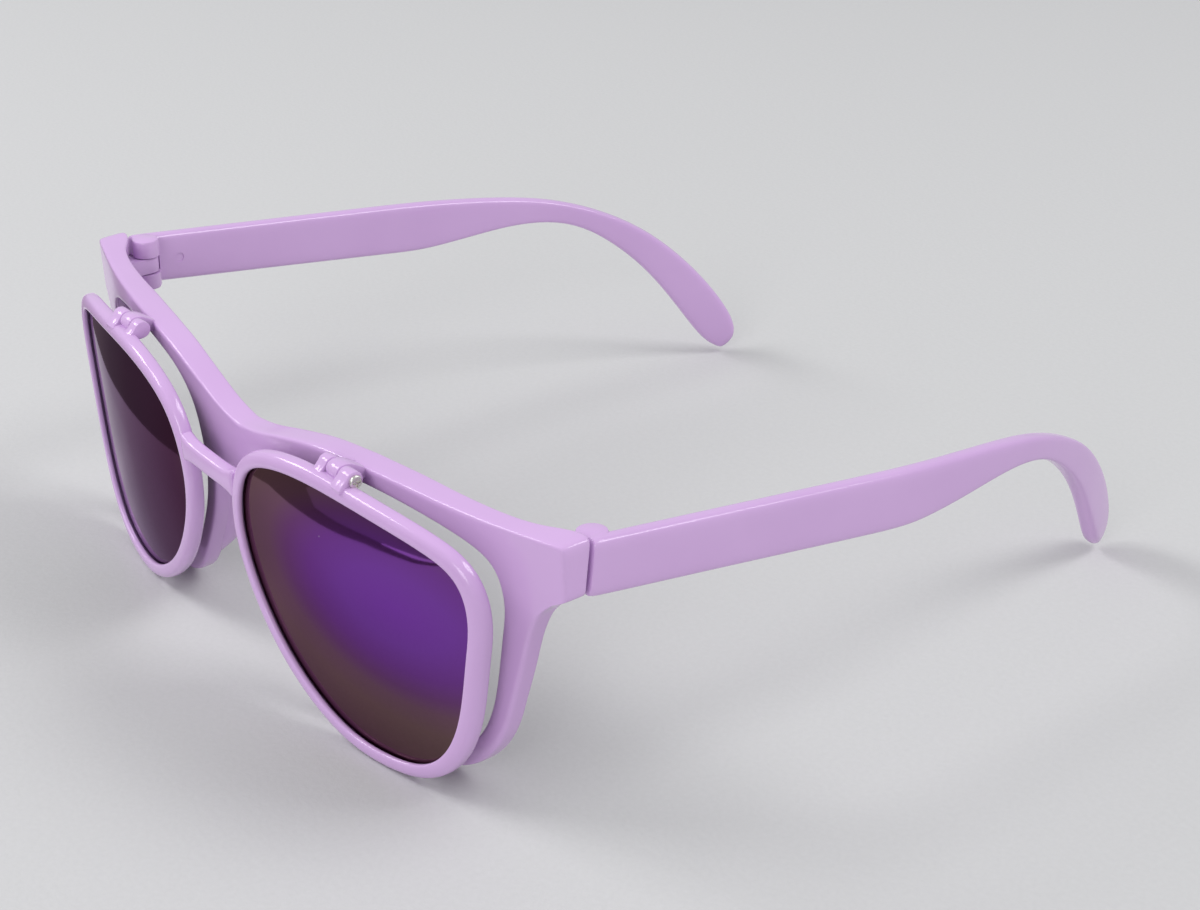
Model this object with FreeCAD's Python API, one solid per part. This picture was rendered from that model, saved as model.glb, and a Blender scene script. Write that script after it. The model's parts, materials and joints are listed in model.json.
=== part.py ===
import FreeCAD, Part
import math
import os

V = FreeCAD.Vector

# Lens opening of the flip rims, in millimetres. Everything across the front hangs on these three.
lens_width = 52.0
lens_height = 41.6
lens_gap = 18.6
# Points round one lens opening, from the nose side over the top, as shares of its width and height.
lens_shares = [
    (0.000, 0.620), (0.017, 0.784), (0.075, 0.899), (0.187, 0.969), (0.350, 1.000),
    (0.533, 0.995), (0.715, 0.971), (0.869, 0.938), (0.965, 0.882), (1.000, 0.780),
    (0.987, 0.596), (0.954, 0.380), (0.898, 0.188), (0.792, 0.050), (0.629, 0.000),
    (0.465, 0.012), (0.312, 0.089), (0.167, 0.224), (0.060, 0.400),
]
outline_samples = 48
outline_edges = 4

# Stance: plan curve of both fronts, lean of the front, fall of the temples (degrees).
base_radius = 230.0
front_tilt = 3.1
temple_slope = 6.0
temple_splay = 0.25

# Front frame.
front_lead = 14.56
rim_face = 3.1
rim_depth = 3.0
brow_rise = 1.9
brow_depth = 4.6
brow_round = 0.5
bridge_dip = 5.4
end_reach = 11.2
end_height = 8.9
gusset_drop = 21.0
end_sag = 0.9
opening_round = 0.4
# Top line of the brow: share of the half width, share of the dip at the bridge.
brow_top_shares = [
    (0.00, 1.00), (0.05, 0.98), (0.10, 0.88), (0.15, 0.70), (0.20, 0.50), (0.26, 0.28),
    (0.33, 0.13), (0.45, 0.06), (0.60, 0.03), (0.80, 0.01), (1.00, 0.00),
]
# Under line of the brow: share of the half width, share of the bridge height below the top line.
bridge_height = 8.3
brow_under_shares = [
    (0.00, 1.00), (0.04, 1.04), (0.09, 1.30), (0.16, 1.25), (0.25, 0.90), (0.45, 0.62), (1.00, 0.55),
]
# Hollow under each end piece: share of the reach past the lens, share of the drop.
gusset_shares = [
    (1.00, 0.00), (0.83, 0.02), (0.72, 0.07), (0.59, 0.14), (0.49, 0.23), (0.37, 0.39), (0.28, 0.57),
    (0.16, 0.78), (0.02, 1.00),
]

# Moulded nose pads, on the nose side of each front rim.
pad_height = 16.0
pad_thick = 3.6
pad_reach = 6.0
pad_flare = 2.4
pad_lean = 21.0
pad_side = 8.6
pad_drop = 1.4
pad_tip_share = 0.68
pad_round = 0.8

# Flip frame.
flip_lead = 6.3
flip_raise = -0.4
flip_rim_face = 2.5
flip_rim_depth = 2.3
flip_front_round = 0.75
flip_back_round = 0.45
flip_bar_height = 3.5
flip_bar_drop = 8.3
flip_bar_round = 0.5

# Lenses and their grooves.
lens_tuck = 0.8
lens_clearance = 0.05
flip_lens_thick = 1.2
flip_lens_set = 0.55
clear_lens_thick = 1.4
clear_lens_set = 0.8

# Flip hinges: line of the screws, knuckles and lug.
hinge_side = 29.7
hinge_axis_back = 1.75
hinge_axis_rise = 0.3
knuckle_radius = 1.45
inner_knuckle_length = 2.2
lug_length = 3.0
outer_knuckle_length = 2.7
knuckle_gap = 0.2
lug_clearance = 0.3
lug_root = 2.2
lug_ramp = 1.6
knuckle_foot = 1.3
knuckle_foot_share = 0.6
flip_screw_radius = 0.6
flip_screw_head_radius = 1.05
flip_screw_head_height = 0.55
flip_screw_end_wall = 0.5
recess_length = 1.3
recess_width = 0.32
recess_depth = 0.35

# Temples, in their own frame: length back from the front edge, drop below the top line.
temple_length = 128.4
temple_height = 8.4
temple_deepest = 9.5
temple_thick = 3.0
temple_drop = 33.3
temple_straight = 52.0
temple_round = 1.0
curl_radius = 165.0
# Top line past the straight, the tip, and the under line: share of the length, share of the drop.
temple_hook_shares = [
    (0.520, 0.001), (0.610, 0.007), (0.690, 0.030), (0.765, 0.097), (0.840, 0.213), (0.903, 0.385),
    (0.954, 0.580), (0.988, 0.757), (1.000, 0.864), (0.994, 0.955), (0.976, 0.998), (0.957, 0.955),
    (0.927, 0.818), (0.872, 0.555), (0.810, 0.340), (0.750, 0.205), (0.700, 0.158), (0.655, 0.160),
    (0.600, 0.195), (0.540, 0.248), (0.490, 0.281),
]

# Temple hinges.
temple_gap = 0.3
pin_inset = 3.6
pin_back = 1.9
temple_knuckle_radius = 2.4
tongue_radius = 2.1
tongue_clearance = 0.25
tongue_height = 2.8
tongue_level = 3.3
hinge_height = 9.2
tongue_slack = 0.2
tongue_root = 1.6
temple_screw_radius = 0.7
temple_screw_head_radius = 1.15
temple_screw_head_height = 0.6
temple_screw_top_wall = 1.0

# Fits shared by both kinds of hinge.
thread_clearance = 0.04
running_clearance = 0.05
head_clearance = 0.05

# Room for cutting tools that only need to reach past the work.
spare = 30.0
overlap = 0.4
tiny = 0.001
round_shares = [1.0, 0.6, 0.35]
least_left_share = 0.6

# Sizes worked out from the ones above.
nose_side = lens_gap / 2
half_width = nose_side + lens_width + end_reach
lens_bottom = rim_face
pad_level = lens_bottom + lens_height / 2 - pad_drop
flip_lens_bottom = lens_bottom + flip_raise
flip_lens_top = flip_lens_bottom + lens_height
flip_rim_top = flip_lens_top + flip_rim_face
flip_bar_level = flip_lens_top - flip_bar_drop
brow_top = lens_bottom + lens_height + brow_rise
front_y = -front_lead
flip_y = front_y - flip_lead
tall = brow_top + spare


def lens_outline(bottom):
    """One closed smooth curve round the lens opening of the left (+X) side"""
    points = []
    for across, up in lens_shares:
        points.append(V(nose_side + across * lens_width, 0, bottom + up * lens_height))
    curve = Part.BSplineCurve()
    curve.interpolate(Points=points, PeriodicFlag=True)
    return curve


def grown(curve, distance):
    """The same curve moved outward by a distance, or inward where it is negative"""
    first = curve.FirstParameter
    step = (curve.LastParameter - first) / outline_samples
    points = []
    for index in range(outline_samples):
        at = first + index * step
        along = curve.tangent(at)[0]
        points.append(curve.value(at) + V(-along.z, 0, along.x).multiply(distance))
    moved = Part.BSplineCurve()
    moved.interpolate(Points=points, PeriodicFlag=True)
    return moved


def pieces(curve):
    """A closed curve as a few edges end to end"""
    first = curve.FirstParameter
    step = (curve.LastParameter - first) / outline_edges
    return [curve.toShape(first + index * step, first + (index + 1) * step) for index in range(outline_edges)]


def open_curve(points):
    curve = Part.BSplineCurve()
    curve.interpolate(Points=points)
    return curve.toShape()


def along_y(edges, start, end):
    """A closed outline in the XZ plane drawn out from one Y to another"""
    face = Part.Face(Part.Wire(Part.__sortEdges__(edges)))
    face.translate(V(0, start, 0))
    return face.extrude(V(0, end - start, 0))


def through(edges):
    return along_y(edges, flip_y - spare, spare)


def slab(front, depth):
    """The curved sheet that starts at a front line and has a depth, as wide as the base curve"""
    centre = V(0, front + base_radius, -spare)
    outside = Part.makeCylinder(base_radius, tall + spare, centre)
    inside = Part.makeCylinder(base_radius - depth, tall + spare, centre)
    return outside.cut(inside)


def mirrored(shape):
    return shape.mirror(V(0, 0, 0), V(1, 0, 0))


def both(shape):
    return [shape, mirrored(shape)]


def sheet_edges(shape, front, radius):
    """Edges of the faces that lie on one of the curved sheets"""
    found = []
    for face in shape.Faces:
        surface = face.Surface
        if surface.TypeId != "Part::GeomCylinder":
            continue
        if abs(surface.Radius - radius) < tiny and abs(surface.Center.y - front - base_radius) < tiny:
            found.extend(face.Edges)
    return found


def softened(shape, edges, radius):
    """Rounds the edges, with a smaller radius where the full one will not go"""
    for share in round_shares:
        try:
            done = shape.makeFillet(radius * share, edges)
        except Exception:
            continue
        if sound(done, shape):
            return done
    return shape


def sound(done, before):
    """True for a rounded shape that is whole and takes only a little off"""
    if not done.isValid() or len(done.Solids) != len(before.Solids):
        return False
    if done.Volume > before.Volume * (1 + tiny) or done.Volume < before.Volume * least_left_share:
        return False
    room = before.BoundBox
    room.enlarge(overlap)
    return room.isInside(done.BoundBox)


def bar_between(low, high):
    """A box from one corner to the other"""
    return Part.makeBox(high.x - low.x, high.y - low.y, high.z - low.z, low)


def surface_y(front, side):
    """Where a curved sheet's front is, at a distance to the side"""
    return front + base_radius - math.sqrt(base_radius ** 2 - side ** 2)


def lens_body(bottom, front, set_back, thick, tuck, slack):
    """A lens, or with slack the groove it sits in"""
    edge = grown(lens_outline(bottom), tuck + slack)
    sheet = slab(front + set_back - slack, thick + slack + slack)
    return through(pieces(edge)).common(sheet)


def tilted(shape):
    """Leans the upright front so that its top comes forward"""
    moved = shape.copy()
    moved.rotate(V(0, front_y, 0), V(1, 0, 0), front_tilt)
    return moved


def tilted_point(y, z):
    angle = math.radians(front_tilt)
    reach = y - front_y
    leant_y = front_y + reach * math.cos(angle) - z * math.sin(angle)
    leant_z = reach * math.sin(angle) + z * math.cos(angle)
    return leant_y, leant_z


# Where the temples' own frame sits: its top line runs on from the end pieces' top front corner.
corner_y, corner_z = tilted_point(surface_y(front_y, half_width), brow_top)
temple_top = corner_z + corner_y * math.tan(math.radians(temple_slope))


def placed(shape):
    """From the temples' own frame to the shared frame"""
    moved = shape.copy()
    moved.rotate(V(0, 0, 0), V(1, 0, 0), -temple_slope)
    moved.translate(V(0, 0, temple_top))
    return moved


def stood(shape):
    """From an upright hinge's own frame, level with the temple's top over its pin, to the shared frame"""
    moved = shape.copy()
    moved.translate(V(0, 0, temple_top - pin_back * math.tan(math.radians(temple_slope))))
    return moved


# Flip hinge stations along X and its line in the upright front.
lug_start = hinge_side + inner_knuckle_length + knuckle_gap
hinge_y = surface_y(flip_y, lug_start + lug_length / 2) + hinge_axis_back + knuckle_radius
hinge_z = flip_rim_top + hinge_axis_rise
outer_start = lug_start + lug_length + knuckle_gap
hinge_end = outer_start + outer_knuckle_length


def barrel(start, length, radius):
    return Part.makeCylinder(radius, length, V(start, hinge_y, hinge_z), V(1, 0, 0))


def build_flip_screw():
    end = hinge_side + flip_screw_end_wall
    shank = barrel(end, hinge_end - end + overlap / 2, flip_screw_radius)
    seat = hinge_end + head_clearance
    head = barrel(seat, flip_screw_head_height, flip_screw_head_radius)
    rim_edges = [edge for edge in head.Edges if edge.BoundBox.XMin > seat + tiny]
    head = softened(head, rim_edges, flip_screw_head_height / 2)
    screw = head.fuse(shank).removeSplitter()
    face = seat + flip_screw_head_height
    for wide, deep in ((recess_length, recess_width), (recess_width, recess_length)):
        low = V(face - recess_depth, hinge_y - wide / 2, hinge_z - deep / 2)
        screw = screw.cut(bar_between(low, V(face + spare, hinge_y + wide / 2, hinge_z + deep / 2)))
    return screw


def build_flip_frame():
    inner = lens_outline(flip_lens_bottom)
    outer = grown(inner, flip_rim_face)
    sheet = slab(flip_y, flip_rim_depth)
    groove = lens_body(flip_lens_bottom, flip_y, flip_lens_set, flip_lens_thick, lens_tuck, lens_clearance)
    rim = through(pieces(outer)).cut(through(pieces(inner))).common(sheet).cut(groove)
    rim = softened(rim, sheet_edges(rim, flip_y, base_radius), flip_front_round)
    rim = softened(rim, sheet_edges(rim, flip_y, base_radius - flip_rim_depth), flip_back_round)
    rim_back = surface_y(flip_y, hinge_side) + flip_rim_depth
    for start, length in ((hinge_side, inner_knuckle_length), (outer_start, outer_knuckle_length)):
        foot_low = V(start, rim_back - knuckle_foot, flip_rim_top - knuckle_foot)
        foot_high = V(start + length, hinge_y + knuckle_radius * knuckle_foot_share, hinge_z)
        foot = bar_between(foot_low, foot_high)
        rim = rim.fuse(barrel(start, length, knuckle_radius).fuse(foot))
    relief = barrel(lug_start - knuckle_gap, lug_length + 2 * knuckle_gap, knuckle_radius + lug_clearance)
    rim = rim.cut(relief)
    head_room = flip_screw_head_height + 2 * head_clearance
    rim = rim.cut(barrel(hinge_end, head_room, flip_screw_head_radius + head_clearance))
    bore_start = hinge_side + flip_screw_end_wall - head_clearance
    rim = rim.cut(barrel(bore_start, hinge_end - bore_start + overlap, flip_screw_radius + thread_clearance))
    low = V(-nose_side - overlap, flip_y - spare, flip_bar_level - flip_bar_height / 2)
    high = V(nose_side + overlap, flip_y + spare, flip_bar_level + flip_bar_height / 2)
    bar = bar_between(low, high).common(sheet)
    bar = softened(bar, sheet_edges(bar, flip_y, base_radius), flip_bar_round)
    for hole in both(through(pieces(inner))) + both(groove):
        bar = bar.cut(hole)
    return rim.fuse(mirrored(rim)).fuse(bar).removeSplitter()


def brow_edges(level_shares, drop):
    """Points of a line across the brow, from the right end to the left"""
    points = []
    for across, down in level_shares:
        points.append((across * half_width, down * drop))
    mirrored_points = [(-side, fall) for side, fall in reversed(points[1:])]
    return mirrored_points + points


def brow_line_z(side):
    """Height of the brow's top line at a distance to the side"""
    place = min(abs(side) / half_width, 1.0)
    for (a, fall_a), (b, fall_b) in zip(brow_top_shares, brow_top_shares[1:]):
        if place <= b:
            part = (place - a) / (b - a)
            return brow_top - bridge_dip * (fall_a + part * (fall_b - fall_a))
    return brow_top


def brow_top_points():
    return [V(side, 0, brow_top - fall) for side, fall in brow_edges(brow_top_shares, bridge_dip)]


def build_above():
    """Everything over the brow's top line"""
    top = brow_top_points()
    corners = [top[-1], V(half_width, 0, tall), V(-half_width, 0, tall), top[0]]
    edges = [open_curve(top)]
    for first, second in zip(corners, corners[1:]):
        edges.append(Part.makeLine(first, second))
    return through(edges)


def build_brow():
    top = brow_top_points()
    under = []
    for side, fall in brow_edges(brow_under_shares, bridge_height):
        under.append(V(side, 0, brow_line_z(side) - fall))
    edges = [open_curve(top), open_curve(under)]
    edges.append(Part.makeLine(top[0], under[0]))
    edges.append(Part.makeLine(top[-1], under[-1]))
    return through(edges)


def build_end_prism():
    """End piece with the hollow under it that runs into the rim, left side"""
    lens_side = nose_side + lens_width
    bottom = brow_top - end_height
    hollow = [V(lens_side + out * end_reach, 0, bottom - fall * gusset_drop) for out, fall in gusset_shares]
    inside_low = V(lens_side - rim_face, 0, hollow[-1].z)
    inside_top = V(lens_side - rim_face, 0, brow_top - overlap)
    outside_top = V(half_width, 0, brow_top - tiny)
    edges = [open_curve(hollow)]
    corners = [hollow[-1], inside_low, inside_top, outside_top, hollow[0]]
    for first, second in zip(corners, corners[1:]):
        edges.append(Part.makeLine(first, second))
    return through(edges)


def build_pad():
    """Nose pad: an upright oval on the rim that leans and flares outward to a smaller one behind"""
    front = surface_y(front_y, pad_side) + rim_depth - overlap
    wires = []
    for back, out, size in ((0, 0, 1.0), (pad_reach, pad_flare, pad_tip_share)):
        long_half = pad_height / 2 * size
        short_half = pad_thick / 2 * size
        oval = Part.Ellipse(V(0, 0, 0), long_half, short_half).toShape()
        oval.rotate(V(0, 0, 0), V(1, 0, 0), 90)
        oval.rotate(V(0, 0, 0), V(0, 1, 0), 90 - pad_lean)
        oval.translate(V(pad_side + out, front + back, pad_level))
        wires.append(Part.Wire([oval]))
    pad = Part.makeLoft(wires, True)
    back_edges = [edge for edge in pad.Edges if edge.BoundBox.YMin > front + pad_reach - tiny]
    return softened(pad, back_edges, pad_round)


def build_lug():
    """Lug on the brow's front top edge, round in front about the flip hinge line"""
    brow_front = surface_y(front_y, lug_start + lug_length / 2)
    ridge = brow_line_z(lug_start)
    top = hinge_z + knuckle_radius
    bottom = hinge_z - knuckle_radius
    points = [
        V(lug_start, hinge_y, top),
        V(lug_start, brow_front + overlap, top),
        V(lug_start, brow_front + lug_ramp + lug_root, ridge - overlap),
        V(lug_start, brow_front + lug_root, ridge - lug_root),
        V(lug_start, brow_front + overlap, ridge - lug_root),
        V(lug_start, hinge_y, bottom),
    ]
    body = Part.Face(Part.makePolygon(points + [points[0]])).extrude(V(lug_length, 0, 0))
    lug = body.fuse(barrel(lug_start, lug_length, knuckle_radius)).removeSplitter()
    bore = barrel(lug_start - overlap, lug_length + 2 * overlap, flip_screw_radius + running_clearance)
    return lug.cut(bore)


# Temple hinge stations, in an upright frame at the hinge.
pin_x = half_width - pin_inset
tongue_top = -tongue_level
tongue_bottom = tongue_top - tongue_height


def upright(radius, bottom, top):
    return Part.makeCylinder(radius, top - bottom, V(pin_x, pin_back, bottom))


def build_tongue():
    """Tongue of the front in the temple hinge, left side"""
    web_low = V(pin_x - tongue_radius, -temple_gap - tongue_root, tongue_bottom)
    web_high = V(pin_x + tongue_radius, pin_back, tongue_top)
    tongue = upright(tongue_radius, tongue_bottom, tongue_top).fuse(bar_between(web_low, web_high))
    return tongue.removeSplitter()


def on_ridge(edge):
    """True for an edge of the front that runs along the brow's top line or down an end piece's corner"""
    box = edge.BoundBox
    if min(abs(box.XMin), abs(box.XMax)) > half_width - overlap:
        return True
    middle = edge.valueAt((edge.FirstParameter + edge.LastParameter) / 2)
    return abs(middle.z - brow_line_z(middle.x)) < overlap


def on_opening(edge):
    """True for an edge of the front that runs round a lens opening"""
    box = edge.BoundBox
    near = min(abs(box.XMin), abs(box.XMax))
    far = max(abs(box.XMin), abs(box.XMax))
    level = box.ZMin > lens_bottom - overlap and box.ZMax < lens_bottom + lens_height + overlap
    inside = near > nose_side - overlap and far < nose_side + lens_width + overlap
    return level and inside and box.XMin * box.XMax > 0


def build_front():
    hole_curve = lens_outline(lens_bottom)
    hole = through(pieces(hole_curve))
    rim = through(pieces(grown(hole_curve, rim_face)))
    outline = build_brow()
    brow = outline
    ends = build_end_prism()
    for side in both(rim) + both(ends):
        outline = outline.fuse(side)
    outline = outline.cut(build_above()).removeSplitter()
    body = outline.common(slab(front_y, rim_depth))
    body = body.fuse(brow.common(slab(front_y, brow_depth)))
    end_depth = front_lead + spare / 2
    lens_side = nose_side + lens_width
    end_block = ends.common(slab(front_y, end_depth))
    end_floor = brow_top - end_height - end_sag
    keep_low = V(lens_side + rim_face, flip_y - spare, end_floor)
    end_block = end_block.common(bar_between(keep_low, V(half_width + spare, spare / 2, tall)))
    for side in both(end_block):
        body = body.fuse(side)
    for side in both(hole):
        body = body.cut(side)
    body = body.removeSplitter()
    for wanted, radius in ((on_ridge, brow_round), (on_opening, opening_round)):
        front_edges = sheet_edges(body, front_y, base_radius)
        body = softened(body, [edge for edge in front_edges if wanted(edge)], radius)
    for pad in both(build_pad()) + both(build_lug()):
        body = body.fuse(pad)
    groove = lens_body(lens_bottom, front_y, clear_lens_set, clear_lens_thick, lens_tuck, lens_clearance)
    for side in both(groove) + both(hole):
        body = body.cut(side)
    body = tilted(body)
    # The end pieces stop at the temples' front edge, with room round the temples' knuckles.
    low = V(half_width - end_reach, -temple_gap, -temple_height - spare)
    behind = bar_between(low, V(half_width + spare, spare + spare, spare))
    room_radius = temple_knuckle_radius + temple_gap
    knuckle_room = upright(room_radius, tongue_top, spare)
    knuckle_room = knuckle_room.fuse(upright(room_radius, -hinge_height - spare, tongue_bottom))
    tongue_bore = upright(temple_screw_radius + running_clearance, -hinge_height - spare, spare)
    for side in both(placed(behind)) + both(stood(knuckle_room)):
        body = body.cut(side)
    for side in both(stood(build_tongue())):
        body = body.fuse(side)
    for side in both(stood(tongue_bore)):
        body = body.cut(side)
    return body


def temple_bar():
    """The temple's arm, left side: a side outline and a plan outline drawn through each other"""
    hook = [V(0, along * temple_length, -down * temple_drop) for along, down in temple_hook_shares]
    curve = Part.BSplineCurve()
    start = V(0, temple_straight, 0)
    low = V(0, temple_straight, -temple_deepest)
    front_low = V(0, 0, -temple_height)
    forward = front_low.sub(low).normalize()
    points = [start] + hook + [low]
    curve.interpolate(Points=points, InitialTangent=V(0, 1, 0), FinalTangent=forward)
    edges = [
        Part.makeLine(V(0, 0, 0), start), curve.toShape(), Part.makeLine(low, front_low),
        Part.makeLine(front_low, V(0, 0, 0)),
    ]
    side = Part.Face(Part.Wire(edges))
    side.translate(V(-half_width, 0, 0))
    side = side.extrude(V(half_width + half_width, 0, 0))
    centre = V(-curl_radius, temple_straight, 0)
    turn = math.pi / 2
    rows = []
    for inset in (0, temple_thick):
        radius = curl_radius - inset
        mid = centre + V(radius * math.cos(turn / 2), radius * math.sin(turn / 2), 0)
        end = centre + V(0, radius, 0)
        rows.append((V(-inset, 0, 0), V(-inset, temple_straight, 0), mid, end))
    outer, inner = rows
    edges = [
        Part.makeLine(outer[0], outer[1]), Part.Arc(outer[1], outer[2], outer[3]).toShape(),
        Part.makeLine(outer[3], inner[3]), Part.Arc(inner[3], inner[2], inner[1]).toShape(),
        Part.makeLine(inner[1], inner[0]), Part.makeLine(inner[0], outer[0]),
    ]
    plan = Part.Face(Part.Wire(edges))
    plan.translate(V(0, 0, -temple_drop - spare))
    plan = plan.extrude(V(0, 0, temple_drop + spare + spare))
    arm = side.common(plan)
    long_edges = [edge for edge in arm.Edges if edge.BoundBox.YLength > tiny]
    arm = softened(arm, long_edges, temple_round)
    arm.rotate(V(0, 0, 0), V(0, 0, 1), temple_splay)
    arm.translate(V(half_width, 0, 0))
    return arm


def build_temple():
    arm = placed(temple_bar()).fuse(stood(upright(temple_knuckle_radius, -hinge_height, 0)))
    room_top = tongue_top + tongue_slack
    room_bottom = tongue_bottom - tongue_slack
    wide = tongue_radius + tongue_clearance
    inner_side = pin_x - temple_knuckle_radius - overlap
    slot = bar_between(V(inner_side, -spare, room_bottom), V(pin_x + wide, pin_back, room_top))
    swing = bar_between(V(inner_side, pin_back - overlap, room_bottom), V(pin_x, pin_back + wide, room_top))
    bore_top = -temple_screw_top_wall + head_clearance
    bore = upright(temple_screw_radius + thread_clearance, -hinge_height - spare, bore_top)
    mouth_top = -hinge_height + temple_screw_head_height + head_clearance
    mouth = upright(temple_screw_head_radius + head_clearance, -hinge_height - spare, mouth_top)
    for tool in (upright(wide, room_bottom, room_top), slot, swing, bore, mouth):
        arm = arm.cut(stood(tool))
    return arm.removeSplitter()


def build_temple_screw():
    shoulder = -hinge_height + temple_screw_head_height
    screw = upright(temple_screw_head_radius, -hinge_height, shoulder)
    screw = screw.fuse(upright(temple_screw_radius, -hinge_height, -temple_screw_top_wall)).removeSplitter()
    for wide, deep in ((recess_length, recess_width), (recess_width, recess_length)):
        low = V(pin_x - wide / 2, pin_back - deep / 2, -hinge_height - spare)
        high = V(pin_x + wide / 2, pin_back + deep / 2, -hinge_height + recess_depth)
        screw = screw.cut(bar_between(low, high))
    return stood(screw)


# Build every piece, left side first, then mirror the paired ones.
shapes = {}
shapes["front_frame"] = build_front()
shapes["flip_frame"] = tilted(build_flip_frame())
flip_lens = tilted(lens_body(flip_lens_bottom, flip_y, flip_lens_set, flip_lens_thick, lens_tuck, 0))
clear_lens = tilted(lens_body(lens_bottom, front_y, clear_lens_set, clear_lens_thick, lens_tuck, 0))
pairs = {
    "flip_lens": flip_lens,
    "clear_lens": clear_lens,
    "flip_hinge_screw": tilted(build_flip_screw()),
    "temple": build_temple(),
    "temple_hinge_screw": build_temple_screw(),
}
for name, shape in pairs.items():
    shapes[name + "_left"] = shape
    shapes[name + "_right"] = mirrored(shape)

# Stand the whole on z = 0 with the origin under the middle of its bounding box.
whole = Part.makeCompound(list(shapes.values())).optimalBoundingBox(False, False)
shift = V(-(whole.XMin + whole.XMax) / 2, -(whole.YMin + whole.YMax) / 2, -whole.ZMin)
os.makedirs("parts", exist_ok=True)
for name, shape in shapes.items():
    shape.translate(shift)
    shape.exportStep("parts/%s.step" % name)

# Say where the hinge lines are, for whoever fills in the record.
flip_line = tilted_point(hinge_y, hinge_z)
print("flip hinge line y z", flip_line[0] + shift.y, flip_line[1] + shift.z)
pin = Part.Vertex(pin_x, pin_back, -hinge_height / 2)
pin = stood(pin).Point.add(shift)
print("temple pin", pin.x, pin.y, pin.z)
for name, shape in sorted(shapes.items()):
    box = shape.BoundBox
    print(name, "solids", len(shape.Solids), "valid", shape.isValid(), "volume", round(shape.Volume, 1),
          "box", [round(v, 1) for v in (box.XMin, box.YMin, box.ZMin, box.XMax, box.YMax, box.ZMax)])
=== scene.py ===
import json
import math
import bmesh
import bpy
import numpy
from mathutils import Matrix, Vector
from mathutils.kdtree import KDTree


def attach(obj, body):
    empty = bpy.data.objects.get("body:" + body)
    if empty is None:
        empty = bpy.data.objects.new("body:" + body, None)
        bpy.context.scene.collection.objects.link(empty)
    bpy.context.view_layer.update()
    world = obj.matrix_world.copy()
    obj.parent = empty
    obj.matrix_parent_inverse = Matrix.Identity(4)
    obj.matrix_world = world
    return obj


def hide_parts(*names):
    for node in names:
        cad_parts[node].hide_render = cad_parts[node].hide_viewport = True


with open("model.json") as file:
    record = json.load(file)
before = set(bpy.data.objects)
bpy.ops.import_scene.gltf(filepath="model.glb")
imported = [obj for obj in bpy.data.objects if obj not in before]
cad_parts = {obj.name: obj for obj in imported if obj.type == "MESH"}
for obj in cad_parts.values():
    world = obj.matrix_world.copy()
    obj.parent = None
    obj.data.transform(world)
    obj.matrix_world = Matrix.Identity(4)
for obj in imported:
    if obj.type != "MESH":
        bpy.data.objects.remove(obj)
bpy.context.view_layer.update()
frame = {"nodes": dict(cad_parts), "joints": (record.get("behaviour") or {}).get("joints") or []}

# Lengths below are in millimetres and become metres when a corner is placed.
MM = 0.001
joint_at = {joint["name"]: Vector(joint["pos_m"]) / MM for joint in frame["joints"]}
flip_pin = joint_at["flip_hinge"]
temple_pin = joint_at["temple_left_fold"]

# Lens openings: sizes, and the outline from the nose side over the top as shares of width and height.
lens_width = 52.0
lens_height = 41.6
nose_side = 9.3
lens_shares = [
    (0.000, 0.620), (0.017, 0.784), (0.075, 0.899), (0.187, 0.969), (0.350, 1.000),
    (0.533, 0.995), (0.715, 0.971), (0.869, 0.938), (0.965, 0.882), (1.000, 0.780),
    (0.987, 0.596), (0.954, 0.380), (0.898, 0.188), (0.792, 0.050), (0.629, 0.000),
    (0.465, 0.012), (0.312, 0.089), (0.167, 0.224), (0.060, 0.400),
]
# The front's own openings stand further from the nose and are lower there: share number, new share.
front_corner_shares = {
    0: (0.098, 0.620), 1: (0.110, 0.752), 2: (0.147, 0.858), 3: (0.222, 0.932), 4: (0.350, 0.974),
    5: (0.533, 0.986), 17: (0.212, 0.250), 18: (0.136, 0.420),
}
places_per_share = 4

# Stance of both fronts, as they stand before they lean forward.
base_radius = 230.0
front_lean = math.radians(3.1)
front_y = -14.56
flip_y = -20.86
front_lens_bottom = 3.1
flip_lens_bottom = 2.7
hinge_y = -15.193
hinge_z = 47.1

# Section of the flip rims, front edge first: distance outward from the opening, distance back.
flip_rim_section = [
    (0.00, 0.95), (0.00, 0.42), (0.08, 0.16), (0.30, 0.03), (0.85, 0.00), (1.45, 0.04), (1.95, 0.20),
    (2.32, 0.52), (2.50, 1.00), (2.50, 1.60), (2.44, 2.15), (2.22, 2.48), (1.85, 2.60), (1.10, 2.60),
    (0.40, 2.58), (0.10, 2.50), (0.00, 2.36), (0.72, 2.34), (0.86, 2.26), (0.90, 1.70), (0.86, 1.14),
    (0.72, 1.06),
]
# Bar between the flip rims: distance to the side, height there.
flip_bar_level = 36.0
flip_bar_depth = 2.3
flip_bar_heights = [(8.6, 5.4), (7.6, 4.5), (6.4, 3.8), (4.5, 3.5), (1.5, 3.5)]
flip_bar_round = 0.55

# Flip hinges: where the knuckles and the lug start and end along X, and their sides about the pin as distance
# back, distance up, then an arc as first and last angle in degrees and its steps.
inner_knuckle = (29.7, 31.9)
hinge_lug = (32.1, 35.1)
outer_knuckle = (35.3, 38.0)
knuckle_radius = 1.45
knuckle_round = 0.22
knuckle_foot = [
    (-1.35, -1.50), (-2.10, -1.70), (-2.70, -1.30), (-2.74, -0.82), (-2.40, -0.38), (-2.02, -0.06),
    (-1.70, 0.24),
]
knuckle_arc = (155, -95, 14)
lug_foot = [
    (1.20, -1.55), (2.30, -1.75), (3.40, -1.90), (4.40, -1.80), (5.00, -1.40), (4.80, -0.80), (3.95, -0.34),
    (3.35, -0.04), (2.75, 0.34), (2.05, 0.82), (1.25, 1.24), (0.60, 1.40),
]
lug_arc = (90, 285, 12)

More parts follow.
